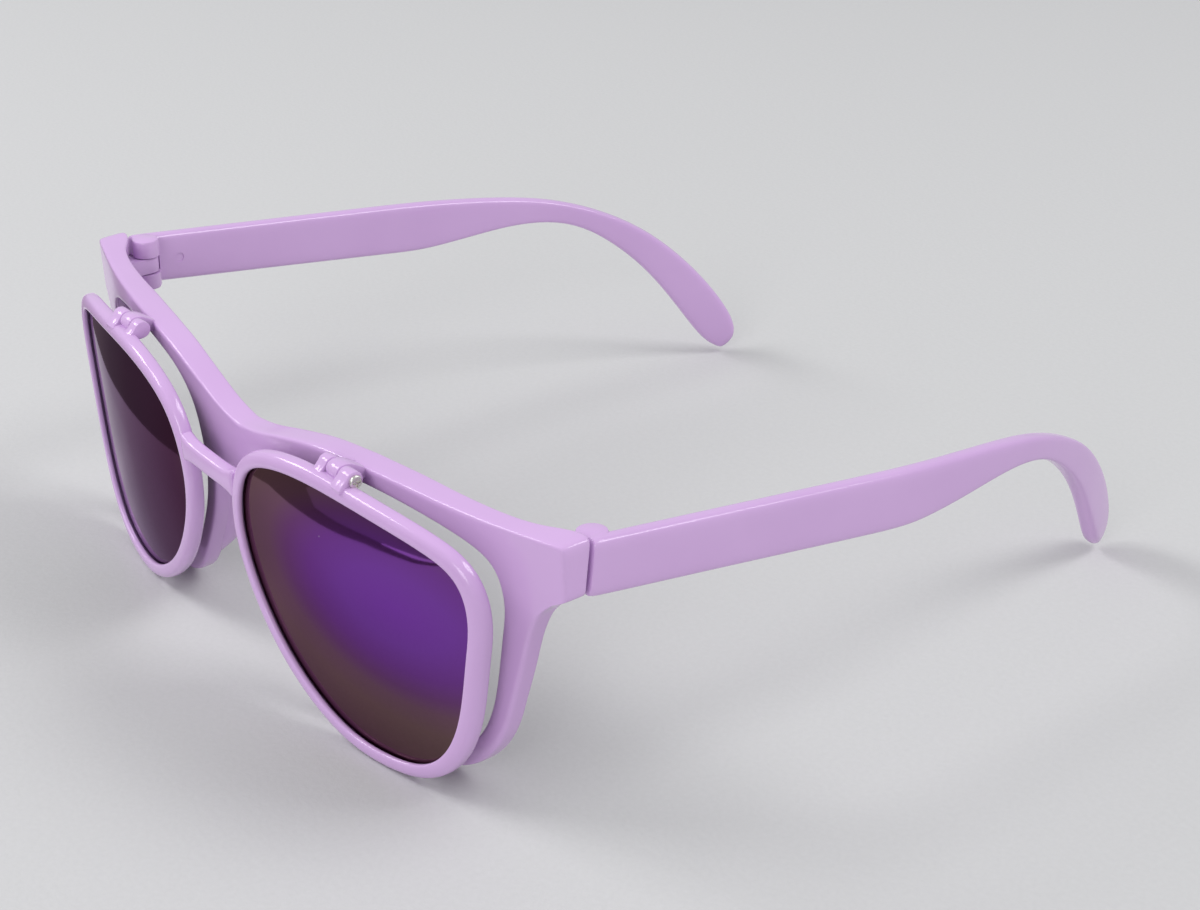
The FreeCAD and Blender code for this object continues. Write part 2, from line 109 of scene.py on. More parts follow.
# Front frame: its left half's outline as place round the opening, distance to the side, height.
front_outline = [
    (0.30, 0.0, 32.9), (1.70, 0.0, 41.6), (1.90, 3.6, 41.9), (2.15, 7.3, 42.7), (2.45, 10.9, 43.7),
    (2.75, 14.5, 44.6), (3.15, 18.9, 45.6), (3.60, 23.9, 46.5), (4.40, 32.6, 47.1), (5.50, 43.5, 47.1),
    (6.30, 50.8, 46.8), (7.05, 58.0, 46.6), (8.20, 71.0, 46.6), (8.28, 72.0, 46.45), (8.35, 72.35, 46.1),
    (8.45, 72.5, 45.3), (9.24, 72.5, 38.6), (9.32, 72.35, 38.0), (9.40, 71.8, 37.65), (9.50, 70.6, 37.3),
    (9.62, 69.4, 36.2), (9.75, 67.9, 34.8), (9.90, 66.8, 32.9), (10.20, 65.4, 29.5), (10.50, 64.4, 25.7),
    (10.85, 63.1, 21.3),
]
front_nose = [
    (18.95, 9.4, 30.0), (19.05, 7.8, 31.6), (19.13, 5.6, 32.5), (19.21, 3.0, 32.8), (19.30, 0.0, 32.9),
]
# First and last place of the plain rim, which follows the opening at one distance.
front_rim = (11.20, 18.80)
front_rim_face = 3.1
# Places round the opening that have a row of corners: bridge, brow, end piece, plain rim, nose.
brow_start = 3.20
brow_step = 0.30
brow_rows = 16
rim_step = 0.25
rim_rows = 29
front_places = [0.30, 0.50, 0.90, 1.30, 1.55, 1.70, 1.80, 1.95, 2.15, 2.40, 2.65, 2.90]
front_places += [brow_start + brow_step * step for step in range(brow_rows)]
front_places += [7.90, 8.08, 8.20, 8.28, 8.35, 8.45, 8.60, 8.85, 9.10, 9.24, 9.32, 9.40]
front_places += [9.50, 9.62, 9.75, 9.90, 10.20, 10.50, 10.85]
front_places += [front_rim[0] + rim_step * step for step in range(rim_rows + 1)]
front_places += [18.62, 18.80, 18.95, 19.05, 19.13, 19.21]
# Section of the front: where a distance starts, the distance (a share in the middle), the set back, and the
# share of the depth.
front_section = [
    ("opening", 0.00, 0.55, 0), ("opening", 0.00, 0.20, 0), ("opening", 0.12, 0.05, 0),
    ("opening", 0.40, 0.00, 0), ("middle", 0.50, 0.00, 0), ("edge", 1.20, 0.00, 0), ("edge", 0.60, 0.00, 0),
    ("edge", 0.17, 0.16, 0), ("edge", 0.00, 0.58, 0), ("edge", 0.00, 0.00, 0.5), ("edge", 0.00, -0.52, 1),
    ("edge", 0.15, -0.13, 1), ("edge", 0.55, 0.00, 1), ("middle", 0.50, 0.00, 1), ("opening", 0.40, 0.00, 1),
    ("opening", 0.08, -0.06, 1), ("opening", 0.00, -0.30, 1), ("opening", 0.00, 2.30, 0),
    ("opening", 0.80, 2.28, 0), ("opening", 0.88, 1.50, 0), ("opening", 0.80, 0.72, 0),
]
# Depth of the front by place round the opening.
front_depths = [
    (0.3, 3.9), (1.7, 3.9), (3.6, 4.5), (5.2, 4.5), (7.0, 3.8), (8.3, 3.7), (9.9, 3.0), (18.5, 3.0),
    (19.3, 3.9),
]
# First and last place whose edge lies on the middle of the bridge.
bridge_places = (0.30, 1.70)
# End pieces: where the front's back turns into the flat end against the temple, and how that end stands.
end_block_side = (64.5, 70.5)
end_block_level = (35.0, 37.2)
end_block_top = 46.6
end_block_back = 1.95
end_block_lean = 0.16

# Moulded nose pads: rows as distance back, distance outward, size and stretch of the lower end, which bends
# outward along the rim.
pad_side = 12.6
pad_level = 22.4
pad_lean = math.radians(21)
pad_half = (11.6, 1.6)
pad_front = 1.4
pad_rows = [
    (0.0, 1.90, 0.93, 1.55), (1.6, 1.35, 1.00, 1.45), (3.2, 0.80, 1.00, 1.25), (5.0, 0.55, 0.95, 1.08),
    (6.8, 0.75, 0.87, 0.90), (7.7, 1.10, 0.77, 0.82), (8.0, 1.30, 0.50, 0.80),
]
pad_bend = 0.008
pad_places = 24

# Temples, in their own frame: stance, thickness and curl, then stations as a point of the top line and one of
# the under line, each with its distance back and distance down.
temple_slope = math.radians(6)
temple_splay = math.radians(0.25)
temple_side = 72.5
temple_thick = 3.0
temple_straight = 52.0
temple_edge = 0.95
curl_radius = 165.0
temple_stations = [
    ((0.0, 0.0), (0.0, 8.9)), ((0.25, 0.0), (0.25, 8.9)), ((10.0, 0.0), (10.0, 9.0)),
    ((26.0, 0.0), (26.0, 9.15)), ((40.0, 0.0), (40.0, 9.35)), ((52.0, 0.0), (52.0, 9.5)),
    ((60.0, 0.0), (58.0, 9.55)), ((66.8, 0.05), (63.2, 9.3)), ((78.3, 0.25), (73.2, 7.4)),
    ((88.6, 1.0), (81.2, 5.7)), ((98.2, 3.2), (89.9, 5.25)), ((107.9, 7.1), (97.6, 7.4)),
    ((115.9, 12.8), (105.9, 12.8)), ((122.5, 19.3), (112.0, 18.5)), ((126.9, 25.2), (117.5, 25.3)),
    ((128.2, 28.8), (121.3, 30.1)), ((127.9, 31.0), (123.3, 31.9)), ((127.0, 32.5), (124.6, 32.9)),
]
# Stations that are drawn in all round, and by how much.
temple_ends = [(0, 0.12), (-2, 0.25), (-1, 0.8)]

# Temple hinges, measured from the top of the hinge at its pin.
hinge_height = 9.2
pin_back = 1.9
temple_knuckle_radius = 2.4
temple_knuckle_round = 0.45
tongue_radius = 2.1
tongue_root = 3.8
tongue_round = 0.15
tongue_arc = (0, 180, 12)
tongue_span = (-6.1, -3.3)
slot_span = (-6.3, -3.1)
slot_radius = 2.35
slot_reach = 3.2
slot_arc = (0, 90, 8)
ring_arc = (0, 345, 23)
# Moulding pin's mark on the temple's inner face: distance back, distance down, radius, depth.
pin_mark = (9.2, 4.6, 0.85, 0.12)
hinge_top = temple_pin.z + hinge_height / 2
temple_top = hinge_top + pin_back * math.tan(temple_slope)
temple_front = temple_pin.y - pin_back

# Lenses: tuck into the groove, faces as distance back and thickness, crown of the middle, and rings of
# corners as shares of the way from the middle to the edge.
lens_tuck = 0.6
flip_lens_face = (1.20, 1.0)
clear_lens_face = (0.85, 1.3)
lens_crown = 1.1
lens_rings = [0.04, 0.2, 0.4, 0.6, 0.8, 0.93, 0.985, 1.0]

# Camera: where the photograph was taken from, in metres and degrees.
camera_place = (0.31943, -0.22639, 0.20678)
camera_azimuth = 54.489
camera_elevation = 25.876
focal_pixels = 2508.2
image_wide = 1200
sensor_wide = 36.0
camera_near = 0.01

# Finishes: colours as shares of red, green and blue.
lilac_deep = (0.57, 0.36, 0.66)
lilac_light = (0.64, 0.42, 0.73)
dust_white = (0.86, 0.82, 0.88)
plastic_gloss = (0.08, 0.20)
# Mirror coating: its bluest spot in millimetres, how fast it changes along each axis, and its colours by
# distance from that spot.
mirror_spot = (47.0, 0.0, 30.0)
mirror_rate = (1.0, 0.0, 1.9)
mirror_reach = 110.0
mirror_bands = [
    (0.0, (0.215, 0.056, 0.420)), (11.0, (0.205, 0.060, 0.385)), (19.0, (0.187, 0.055, 0.300)),
    (25.0, (0.175, 0.065, 0.200)), (30.0, (0.188, 0.098, 0.140)), (37.0, (0.180, 0.108, 0.105)),
    (46.0, (0.145, 0.085, 0.085)), (54.0, (0.105, 0.053, 0.065)), (62.0, (0.085, 0.040, 0.060)),
    (72.0, (0.105, 0.060, 0.088)), (82.0, (0.105, 0.066, 0.094)), (91.0, (0.155, 0.125, 0.165)),
    (101.0, (0.380, 0.350, 0.410)),
]
mirror_edge_tint = (0.62, 0.50, 0.64)
mirror_gloss = (0.03, 0.07)
lens_back_brown = (0.050, 0.034, 0.042)
clear_tint = (0.30, 0.31, 0.33)
clear_haze = (0.42, 0.43, 0.45)
clear_gloss = (0.02, 0.06)
clear_cover = 0.07
steel_bright = (0.84, 0.82, 0.78)
steel_dull = (0.66, 0.64, 0.60)
steel_gloss = (0.18, 0.32)
floor_light = (0.58, 0.58, 0.585)
floor_deep = (0.53, 0.53, 0.535)
floor_gloss = (0.75, 0.90)
# Dust specks, as shares of the distance between them: full and faded radius.
dust_size = (0.007, 0.013)
# Surface marks of each finish: clouds, grain and dust specks to the metre, and height of the grain.
lilac_marks = (45, 1500, 95)
mirror_marks = (70, 2400, 60)
clear_marks = (60, 1800, 70)
steel_marks = (900, 6000, 300)
floor_marks = (9, 1100, 40)
lilac_grain = 0.0012
steel_grain = 0.002
floor_grain = 0.05
noise_detail = 4
# Sockets of a colour mix node: its two colours, and what it puts out.
mix_colours = (6, 7)
mix_result = 2

# Stage, in metres: floor, cards off to the side that only the mirrors see, sky and lamps. The cards' colours
# are painted reflections in the mirror lenses: painted shade for a dark crescent and a painted highlight for
# a pale streak.
floor_size = 12.0
card_lift = 0.0005
# Each card's deep and light colour, painted shade or painted highlight as the mirrors reflect it, and its
# corners with the edge nearest to the object first.
cards = [
    # Painted shade: the dark crescent reflected in the mirror lenses.
    ("painted_shade_card", (0.085, 0.065, 0.070), (0.130, 0.100, 0.095), [
        (0.090, -0.200), (0.040, -0.152), (0.019, -0.1375), (0.012, -0.1355), (0.003, -0.134),
        (-0.007, -0.132), (-0.016, -0.128), (-0.026, -0.1245), (-0.039, -0.120), (-0.050, -0.116),
        (-0.066, -0.098), (-0.096, -0.083), (-0.125, -0.066), (-0.150, -0.050), (-0.60, 0.10),
        (-0.60, -0.70), (0.20, -0.70),
    ]),
    # Painted shade, lighter: the dim edge of that reflected crescent.
    ("painted_dim_shade_card", (0.220, 0.185, 0.240), (0.265, 0.225, 0.280), [
        (0.040, -0.154), (0.019, -0.1402), (0.010, -0.139), (0.000, -0.1373), (-0.009, -0.136),
        (-0.020, -0.133), (-0.031, -0.131), (-0.042, -0.138), (-0.042, -0.165), (0.040, -0.165),
    ]),
    # Painted highlight: a pale streak reflected in the mirror lenses.
    ("painted_highlight_strip", (0.86, 0.84, 0.92), (0.90, 0.88, 0.95), [
        (-0.002, -0.1358), (0.010, -0.1365), (0.019, -0.1382), (0.030, -0.1440), (0.030, -0.1460),
        (0.019, -0.1402), (0.010, -0.1390), (-0.002, -0.1366),
    ]),
]
card_marks = (20, 500, 40)
sky_colour = (0.93, 0.94, 0.96)
sky_strength = 0.60
# Lamps: name, place, size, power.
lamps = [
    ("key", (0.50, 0.62, 1.00), 0.55, 5.8),
    ("far", (-0.80, -0.46, 0.60), 0.30, 2.4),
    ("brow", (-0.46, -0.58, 0.72), 0.30, 2.4),
    ("side", (0.62, -0.90, 0.50), 0.50, 3.6),
]

# Meshes: steps of a rounded edge, smoothing levels, the angle from which an edge stays sharp, how far a box
# corner's middle is cut in as a share of its radius, and the gap that closes at the nose.
edge_steps = 2
light_smoothing = 1
full_smoothing = 2
crease_angle = math.radians(35)
corner_share = 0.3
join_gap = 0.01


def closed_curve(corners):
    """The smooth closed curve through the corners: its place and direction at any count of corners"""
    points = numpy.array(corners)
    count = len(points)
    steps = numpy.roll(points, -1, 0) - points
    spans = numpy.linalg.norm(steps, axis=1)
    slopes = steps / spans[:, None]
    system = numpy.zeros((count, count))
    wanted = numpy.zeros((count, 2))
    for index in range(count):
        before = spans[index - 1]
        after = spans[index]
        system[index, index - 1] = after
        system[index, index] = 2 * (before + after)
        system[index, (index + 1) % count] = before
        wanted[index] = 3 * (after * slopes[index - 1] + before * slopes[index])
    tangents = numpy.linalg.solve(system, wanted)

    def at(place):
        index = int(place) % count
        after = (index + 1) % count
        part = place - int(place)
        start = tangents[index] * spans[index]
        end = tangents[after] * spans[index]
        bend = 3 * steps[index] - 2 * start - end
        twist = start + end - 2 * steps[index]
        spot = points[index] + part * (start + part * (bend + part * twist))
        run = start + part * (2 * bend + 3 * part * twist)
        return spot, run / numpy.linalg.norm(run)

    return at


def opening_curve(shares, bottom):
    corners = [(nose_side + across * lens_width, bottom + up * lens_height) for across, up in shares]
    return closed_curve(corners)


def flip_curve():
    return opening_curve(lens_shares, flip_lens_bottom)


def front_curve():
    shares = [front_corner_shares.get(index, share) for index, share in enumerate(lens_shares)]
    return opening_curve(shares, front_lens_bottom)


def lens_places():
    return [index / places_per_share for index in range(len(lens_shares) * places_per_share)]


def moved_out(curve, place, distance):
    """Side and height of a point beside the curve, outward by a distance"""
    spot, run = curve(place)
    return spot[0] - run[1] * distance, spot[1] + run[0] * distance


def sheet_y(front, side):
    """Where a curved sheet's front is, at a distance to the side"""
    return front + base_radius - math.sqrt(base_radius ** 2 - side ** 2)


def leant(side, y, z):
    """From the upright front to the shared frame, in metres, leant about the flip pin"""
    reach = y - hinge_y
    rise = z - hinge_z
    back = reach * math.cos(front_lean) - rise * math.sin(front_lean)
    up = reach * math.sin(front_lean) + rise * math.cos(front_lean)
    return Vector((side, flip_pin.y + back, flip_pin.z + up)) * MM


def arm_place(side, back, down):
    """From the temple's own frame to the shared frame, in metres"""
    across = temple_side + side * math.cos(temple_splay) - back * math.sin(temple_splay)
    along = side * math.sin(temple_splay) + back * math.cos(temple_splay)
    y = temple_front + along * math.cos(temple_slope) - down * math.sin(temple_slope)
    z = temple_top - along * math.sin(temple_slope) - down * math.cos(temple_slope)
    return Vector((across, y, z)) * MM


def deselect():
    bpy.ops.object.select_all(action="DESELECT")


def take(piece):
    """Makes one piece the selected and active one"""
    deselect()
    piece.select_set(True)
    bpy.context.view_layer.objects.active = piece


def started(name, spots, fill):
    """A circle whose corners are set on the spots, left in edit mode with all selected"""
    deselect()
    bpy.ops.mesh.primitive_circle_add(vertices=len(spots), radius=lens_width * MM / 2, fill_type=fill)
    piece = bpy.context.object
    piece.name = name
    piece.data.name = name
    bpy.ops.object.mode_set(mode="EDIT")
    shape = bmesh.from_edit_mesh(piece.data)
    shape.verts.ensure_lookup_table()
    for index, spot in enumerate(spots):
        shape.verts[index].co = spot
    bmesh.update_edit_mesh(piece.data)
    bpy.ops.mesh.select_all(action="SELECT")
    return piece


def finished(piece):
    """Closes the edit with every face pointing outward"""
    bpy.ops.mesh.select_all(action="SELECT")
    bpy.ops.mesh.normals_make_consistent(inside=False)
    bpy.ops.object.mode_set(mode="OBJECT")
    return piece


def grown_piece(name, rows, capped):
    """A piece grown row by row from a circle, closed by caps or by joining the last row to the first.

    Each extruded corner is known by the spot it starts from, and is then moved to its spot in the next row.
    """
    piece = started(name, rows[0], "NOTHING")
    for before, row in zip(rows, rows[1:]):
        bpy.ops.mesh.extrude_edges_move(TRANSFORM_OT_translate={"value": (0, 0, 0)})
        where = KDTree(len(before))
        for index, spot in enumerate(before):
            where.insert(spot, index)
        where.balance()
        shape = bmesh.from_edit_mesh(piece.data)
        for corner in shape.verts:
            if corner.select:
                corner.co = row[where.find(corner.co)[1]]
        bmesh.update_edit_mesh(piece.data)
    if capped:
        bpy.ops.mesh.select_all(action="SELECT")
        bpy.ops.mesh.fill_holes(sides=0)
    else:
        bpy.ops.mesh.select_all(action="DESELECT")
        bpy.ops.mesh.select_non_manifold()
        bpy.ops.mesh.bridge_edge_loops()
    return finished(piece)


def pick_faces(piece, wanted):
    """Selects only the faces that pass a test, in edit mode"""
    shape = bmesh.from_edit_mesh(piece.data)
    for part in list(shape.verts) + list(shape.edges) + list(shape.faces):
        part.select_set(False)
    for face in shape.faces:
        if wanted(face):
            face.select_set(True)
    bmesh.update_edit_mesh(piece.data)


def drawn_piece(name, spots, travel, edge):
    """A piece drawn out from one flat outline, with the edges of both ends rounded"""
    piece = started(name, spots, "NGON")
    bpy.ops.mesh.extrude_region_move(TRANSFORM_OT_translate={"value": travel})
    if edge:
        pick_faces(piece, lambda face: len(face.verts) == len(spots))
        bpy.ops.mesh.region_to_loop()
        bpy.ops.mesh.bevel(offset=edge * MM, segments=edge_steps, affect="EDGES")
    return finished(piece)


def rounded(piece, levels):
    take(piece)
    bpy.ops.object.modifier_add(type="SUBSURF")
    smooth = piece.modifiers[-1]
    smooth.levels = levels
    smooth.render_levels = levels
    bpy.ops.object.modifier_apply(modifier=smooth.name)
    return piece


def both_sides(piece):
    """Adds the other side's half across the nose"""
    take(piece)
    bpy.ops.object.modifier_add(type="MIRROR")
    mirror = piece.modifiers[-1]
    mirror.merge_threshold = join_gap * MM
    bpy.ops.object.modifier_apply(modifier=mirror.name)
    bpy.ops.object.mode_set(mode="EDIT")
    return finished(piece)


def worked(piece, tool, way):
    """Joins a tool to a piece, or cuts it out, and removes the tool"""
    take(piece)
    bpy.ops.object.modifier_add(type="BOOLEAN")
    cut = piece.modifiers[-1]
    cut.operation = way
    cut.solver = "EXACT"
    cut.object = tool
    bpy.ops.object.modifier_apply(modifier=cut.name)
    bpy.data.objects.remove(tool)
    return piece


def together(pieces):
    """Several loose shells as one piece"""
    take(pieces[0])
    for piece in pieces[1:]:
        piece.select_set(True)
    bpy.ops.object.join()
    return bpy.context.object


def other_side(piece, name):
    """The right side's own copy of a left piece"""
    take(piece)
    bpy.ops.object.duplicate()
    copy = bpy.context.object
    copy.name = name
    copy.data.name = name
    bpy.ops.object.mode_set(mode="EDIT")
    bpy.ops.mesh.select_all(action="SELECT")
    bpy.ops.transform.resize(value=(-1, 1, 1), center_override=(0, 0, 0))
    return finished(copy)


def settled(piece, node, body, material):
    """Shades a finished piece and puts it in the place of its CAD node"""
    take(piece)
    bpy.ops.object.shade_smooth_by_angle(angle=crease_angle)
    piece.data.materials.clear()
    piece.data.materials.append(material)
    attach(piece, body)
    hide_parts(node)


def arc_spots(arc, radius):
    """Points of an arc about a pin: first and last angle in degrees, and how many steps"""
    first, last, steps = arc
    angles = [math.radians(first + (last - first) * step / steps) for step in range(steps + 1)]
    return [(radius * math.cos(angle), radius * math.sin(angle)) for angle in angles]


def hinge_block(name, span, sides):
    """A block of the flip hinge between two places along X, its sides given about the pin"""
    spots = [leant(span[0], hinge_y + y, hinge_z + z) for y, z in sides]
    return drawn_piece(name, spots, ((span[1] - span[0]) * MM, 0, 0), knuckle_round)


def make_flip_front():
    curve = flip_curve()
    rows = []
    for grow, back in flip_rim_section:
        row = []
        for place in lens_places():
            side, z = moved_out(curve, place, grow)
            row.append(leant(side, sheet_y(flip_y, side) + back, z))
        rows.append(row)
    rim = rounded(grown_piece("flip_front", rows, False), light_smoothing)
    sides = knuckle_foot + arc_spots(knuckle_arc, knuckle_radius)
    for span in (inner_knuckle, outer_knuckle):
        rim = worked(rim, hinge_block("knuckle", span, sides), "UNION")
    rim = both_sides(rim)
    stations = [(-side, tall) for side, tall in flip_bar_heights]
    stations += reversed(flip_bar_heights)
    rows = []
    for side, tall in stations:
        row = []
        for back, up in boxed_section(flip_bar_depth, tall, flip_bar_round):
            row.append(leant(side, sheet_y(flip_y, side) + back, flip_bar_level + up - tall / 2))
        rows.append(row)
    bar = rounded(grown_piece("bar", rows, True), light_smoothing)
    return worked(rim, bar, "UNION")


def boxed_section(wide, tall, edge):
    """A box section with cut corners, from its low front corner round"""
    cut = edge * corner_share
    return [
        (0, edge), (0, tall / 2), (0, tall - edge), (cut, tall - cut),
        (edge, tall), (wide / 2, tall), (wide - edge, tall), (wide - cut, tall - cut),
        (wide, tall - edge), (wide, tall / 2), (wide, edge), (wide - cut, cut),
        (wide - edge, 0), (wide / 2, 0), (edge, 0), (cut, cut),
    ]


def front_edge(curve, place):
    """Side and height of the front's outline beside a place round the opening"""
    if front_rim[0] <= place <= front_rim[1]:
        return moved_out(curve, place, front_rim_face)
    keys = list(front_outline)
    for at in front_rim:
        keys.append((at,) + moved_out(curve, at, front_rim_face))
    keys += front_nose
    table = numpy.array(keys)
    return numpy.interp(place, table[:, 0], table[:, 1]), numpy.interp(place, table[:, 0], table[:, 2])


def share_between(value, low, high):
    return min(max((value - low) / (high - low), 0), 1)


def front_back(place, side, z):
    """Where the back of the front is: the sheet's depth, or the flat end against the temple"""
    table = numpy.array(front_depths)
    sheet_back = sheet_y(front_y, side) + numpy.interp(place, table[:, 0], table[:, 1])
    end_back = end_block_back + (z - end_block_top) * end_block_lean
    share = share_between(side, *end_block_side) * share_between(z, *end_block_level)
    return sheet_back + (end_back - sheet_back) * share


def front_spot(curve, place, start, amount, offset, through):
    """One corner of the front. Where the bridge is cut at the nose, the edge stays on the middle plane"""
    inner = numpy.array(curve(place)[0])
    outer = numpy.array(front_edge(curve, place))
    length = numpy.linalg.norm(outer - inner)
    share = {"opening": amount / length, "middle": amount, "edge": 1 - amount / length}[start]
    side, z = inner + (outer - inner) * share
    if start == "edge" and place <= bridge_places[1]:
        side = 0
        z = outer[1]
        if place == bridge_places[0]:
            z += amount
        elif place == bridge_places[1]:
            z -= amount
        else:
            offset = 0
    front = sheet_y(front_y, side)
    back = front_back(place, side, z)
    return leant(side, front + (back - front) * through + offset, z)


def make_front():
    """The left half, open at the nose, mirrored and then joined to the lugs, pads and tongues"""
    curve = front_curve()
    rows = []
    for start, amount, offset, through in front_section:
        rows.append([front_spot(curve, place, start, amount, offset, through) for place in front_places])
    half = grown_piece("main_front", rows, False)
    take(half)
    bpy.ops.object.mode_set(mode="EDIT")
    pick_faces(half, lambda face: all(abs(corner.co.x) < join_gap * MM for corner in face.verts))
    bpy.ops.mesh.delete(type="FACE")
    bpy.ops.object.mode_set(mode="OBJECT")
    front = rounded(both_sides(half), full_smoothing)
    fittings = [make_lug(), make_pad(), make_tongue()]
    return worked(front, both_sides(together(fittings)), "UNION")


def make_lug():
    return hinge_block("lug", hinge_lug, lug_foot + arc_spots(lug_arc, knuckle_radius))


def make_pad():
    along = (math.sin(pad_lean), -math.cos(pad_lean))
    rows = []
    for back, out, size, stretch in pad_rows:
        row = []
        for index in range(pad_places):
            angle = 2 * math.pi * index / pad_places
            far = math.cos(angle) * pad_half[0] * size
            bend = 0
            if far > 0:
                far *= stretch
                bend = pad_bend * far ** 2
            wide = math.sin(angle) * pad_half[1] * size
            side = pad_side + out + bend + far * along[0] - wide * along[1]
            z = pad_level + far * along[1] + wide * along[0]
            row.append(leant(side, sheet_y(front_y, pad_side) + pad_front + back, z))
        rows.append(row)
    return rounded(grown_piece("pad", rows, True), light_smoothing)


def make_tongue():
    spots = [(-tongue_radius, -tongue_root), (tongue_radius, -tongue_root)]
    spots += arc_spots(tongue_arc, tongue_radius)
    return upright_piece("tongue", spots, tongue_span, tongue_round)


def upright_piece(name, spots, span, edge):
    """A piece about the temple's pin between two heights below the hinge's top"""
    low = [Vector((temple_pin.x + x, temple_pin.y + y, hinge_top + span[0])) * MM for x, y in spots]
    return drawn_piece(name, low, (0, 0, (span[1] - span[0]) * MM), edge)


def temple_row(upper, lower, shrink):
    """One section of the temple between a point of its top line and one of its under line"""
    tall = math.dist(upper, lower)
    row = []
    for inward, up in boxed_section(temple_thick - 2 * shrink, tall - 2 * shrink, temple_edge):
        share = (up + shrink) / tall
        back = lower[0] + (upper[0] - lower[0]) * share
        down = lower[1] + (upper[1] - lower[1]) * share
        turn = math.asin(max(back - temple_straight, 0) / curl_radius)
        radius = curl_radius - inward - shrink
        along = back if turn == 0 else temple_straight + radius * math.sin(turn)
        row.append(arm_place(radius * math.cos(turn) - curl_radius, along, down))
    return row


def make_temple():
    shrinks = [0.0] * len(temple_stations)
    for index, amount in temple_ends:
        shrinks[index] = amount
    rows = [temple_row(upper, lower, shrink) for (upper, lower), shrink in zip(temple_stations, shrinks)]
    arm = rounded(grown_piece("left_temple", rows, True), full_smoothing)
    ring = arc_spots(ring_arc, temple_knuckle_radius)
    arm = worked(arm, upright_piece("knuckles", ring, (-hinge_height, 0), temple_knuckle_round), "UNION")
    slot = [(-slot_reach, -slot_reach), (slot_radius, -slot_reach)]
    slot += arc_spots(slot_arc, slot_radius)
    slot += [(-slot_reach, slot_radius)]
    arm = worked(arm, upright_piece("slot", slot, slot_span, 0), "DIFFERENCE")
    back, down, radius, depth = pin_mark
    mark = [arm_place(-2 * temple_thick, back + x, down + y) for x, y in arc_spots(ring_arc, radius)]
    return worked(arm, drawn_piece("mark", mark, ((temple_thick + depth) * MM, 0, 0), 0), "DIFFERENCE")


def make_lens(name, curve, front, face):
    """A curved sheet in its groove, crowned a little, left side"""
    middle = numpy.mean([curve(place)[0] for place in lens_places()], axis=0)
    set_back, thick = face
    rows = []
    sides = [(ring, set_back) for ring in lens_rings]
    sides += [(ring, set_back + thick) for ring in reversed(lens_rings)]
    for ring, back in sides:
        row = []
        for place in lens_places():
            side, z = middle + (numpy.array(moved_out(curve, place, lens_tuck)) - middle) * ring
            crown = lens_crown * (1 - ring ** 2)
            row.append(leant(side, sheet_y(front, side) + back - crown, z))
        rows.append(row)
    return rounded(grown_piece(name, rows, True), light_smoothing)


def add_camera():
    data = bpy.data.cameras.new("camera")
    data.sensor_width = sensor_wide
    data.lens = focal_pixels * sensor_wide / image_wide
    data.clip_start = camera_near
    camera = bpy.data.objects.new("camera", data)
    bpy.context.scene.collection.objects.link(camera)
    camera.location = camera_place
    camera.rotation_euler = (math.radians(90 - camera_elevation), 0, math.radians(camera_azimuth))
    bpy.context.scene.camera = camera


def marks_group():
    """Shared surface effect: broad clouding, fine grain and a few specks of dust"""
    group = bpy.data.node_groups.new("surface_marks", "ShaderNodeTree")
    group.interface.new_socket("Vector", in_out="INPUT", socket_type="NodeSocketVector")
    for name in ("Cloud Scale", "Grain Scale", "Dust Scale"):
        group.interface.new_socket(name, in_out="INPUT", socket_type="NodeSocketFloat")
    for name in ("Cloud", "Grain", "Dust"):
        group.interface.new_socket(name, in_out="OUTPUT", socket_type="NodeSocketFloat")
    start = group.nodes.new("NodeGroupInput")
    end = group.nodes.new("NodeGroupOutput")
    for name in ("Cloud", "Grain"):
        noise = group.nodes.new("ShaderNodeTexNoise")
        noise.inputs["Detail"].default_value = noise_detail
        group.links.new(start.outputs["Vector"], noise.inputs["Vector"])
        group.links.new(start.outputs[name + " Scale"], noise.inputs["Scale"])
        group.links.new(noise.outputs["Fac"], end.inputs[name])
    cells = group.nodes.new("ShaderNodeTexVoronoi")
    group.links.new(start.outputs["Vector"], cells.inputs["Vector"])
    group.links.new(start.outputs["Dust Scale"], cells.inputs["Scale"])
    speck = group.nodes.new("ShaderNodeMapRange")
    speck.inputs["From Min"].default_value = dust_size[0]
    speck.inputs["From Max"].default_value = dust_size[1]
    speck.inputs["To Min"].default_value = 1
    speck.inputs["To Max"].default_value = 0
    group.links.new(cells.outputs["Distance"], speck.inputs["Value"])
    group.links.new(speck.outputs["Result"], end.inputs["Dust"])
    return group


